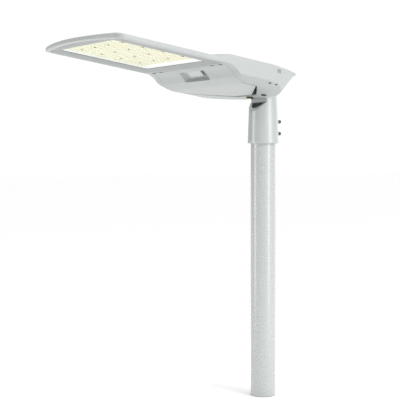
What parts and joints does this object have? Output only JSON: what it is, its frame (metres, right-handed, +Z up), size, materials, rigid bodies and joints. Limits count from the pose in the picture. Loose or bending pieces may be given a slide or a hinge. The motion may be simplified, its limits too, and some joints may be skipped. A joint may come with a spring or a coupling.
{
  "type": "street lamp post",
  "caption": "Round pole top with a spigot sleeve and a flat tilting LED head that has a hinged gear cover underneath.",
  "frame": {"origin": "centre of the pole's cut lower end, on the pole's axis", "axes": "+Z up the pole, -Y the way the head points, +X completes a right-handed frame"},
  "size_m": [0.344, 0.5735, 0.8284],
  "materials": {
    "pole_enamel": "satin light grey powder coat",
    "sleeve_enamel": "satin light grey powder coat on cast aluminium",
    "head_enamel": "satin light grey powder coat on cast aluminium",
    "cover_enamel": "satin light grey powder coat on cast aluminium",
    "frame_enamel": "satin light grey powder coat",
    "latch_enamel": "satin light grey powder coat",
    "zinc_steel": "bright zinc plate",
    "tray_steel": "galvanised sheet",
    "black_cap": "matte moulded",
    "black_plastic": "matte moulded",
    "black_screw": "black oxide",
    "seal_rubber": "matte silicone",
    "white_tray": "matte white reflector paint",
    "board_white": "white solder mask",
    "lens_acrylic": "clear moulded lens plate",
    "pad_grey": "soft thermal pad",
    "vial_green": "clear tinted vial",
    "driver_case": "moulded case",
    "terminal_nylon": "moulded nylon",
    "surge_case": "moulded case",
    "gland_nylon": "moulded nylon",
    "lead_sheath": "silicone sheath",
    "plate_grey": "blank grey plate"
  },
  "bodies": {
    "pole": {"pole_tube": "pole_enamel", "spigot_sleeve": "sleeve_enamel", "set_screws": "zinc_steel", "set_screw_caps": "black_cap", "tilt_bolts": "zinc_steel", "tilt_washers": "zinc_steel"},
    "head": {"head_housing": "head_enamel", "lens_frame": "frame_enamel", "lens_seal": "seal_rubber", "reflector_tray": "white_tray", "lens_plates": "lens_acrylic", "led_boards": "board_white", "thermal_pads": "pad_grey", "lens_screws": "black_screw", "frame_screws": "zinc_steel", "cover_hinge_pins": "zinc_steel", "edge_buffers": "seal_rubber", "level_ring": "black_plastic", "level_vial": "vial_green", "gear_tray": "tray_steel", "tray_screws": "zinc_steel", "led_driver": "driver_case", "terminal_block": "terminal_nylon", "surge_protector": "surge_case", "cable_gland": "gland_nylon", "led_lead": "lead_sheath", "led_connector": "terminal_nylon", "mains_lead": "lead_sheath", "breather_vent": "black_plastic", "side_plate": "plate_grey"},
    "gear_cover": {"gear_cover": "cover_enamel", "cover_seal": "seal_rubber", "latch_pin": "zinc_steel", "latch_springs": "zinc_steel"},
    "latch": {"latch_paddle": "latch_enamel"}
  },
  "joints": [
    {"name": "head_tilt", "type": "hinge", "parent": "pole", "child": "head", "pos_m": [0, 0, 0.734], "axis": [-1, 0, 0], "range_deg": [-8, 7]},
    {"name": "cover_hinge", "type": "hinge", "parent": "head", "child": "gear_cover", "pos_m": [0, -0.06868, 0.72885], "axis": [1, 0, 0], "range_deg": [0, 60]},
    {"name": "latch_turn", "type": "hinge", "parent": "gear_cover", "child": "latch", "pos_m": [0, -0.20122, 0.76898], "axis": [-1, 0, 0], "range_deg": [0, 35], "stiffness_Nm_per_rad": 0.02, "springref_deg": -17.19}
  ]
}
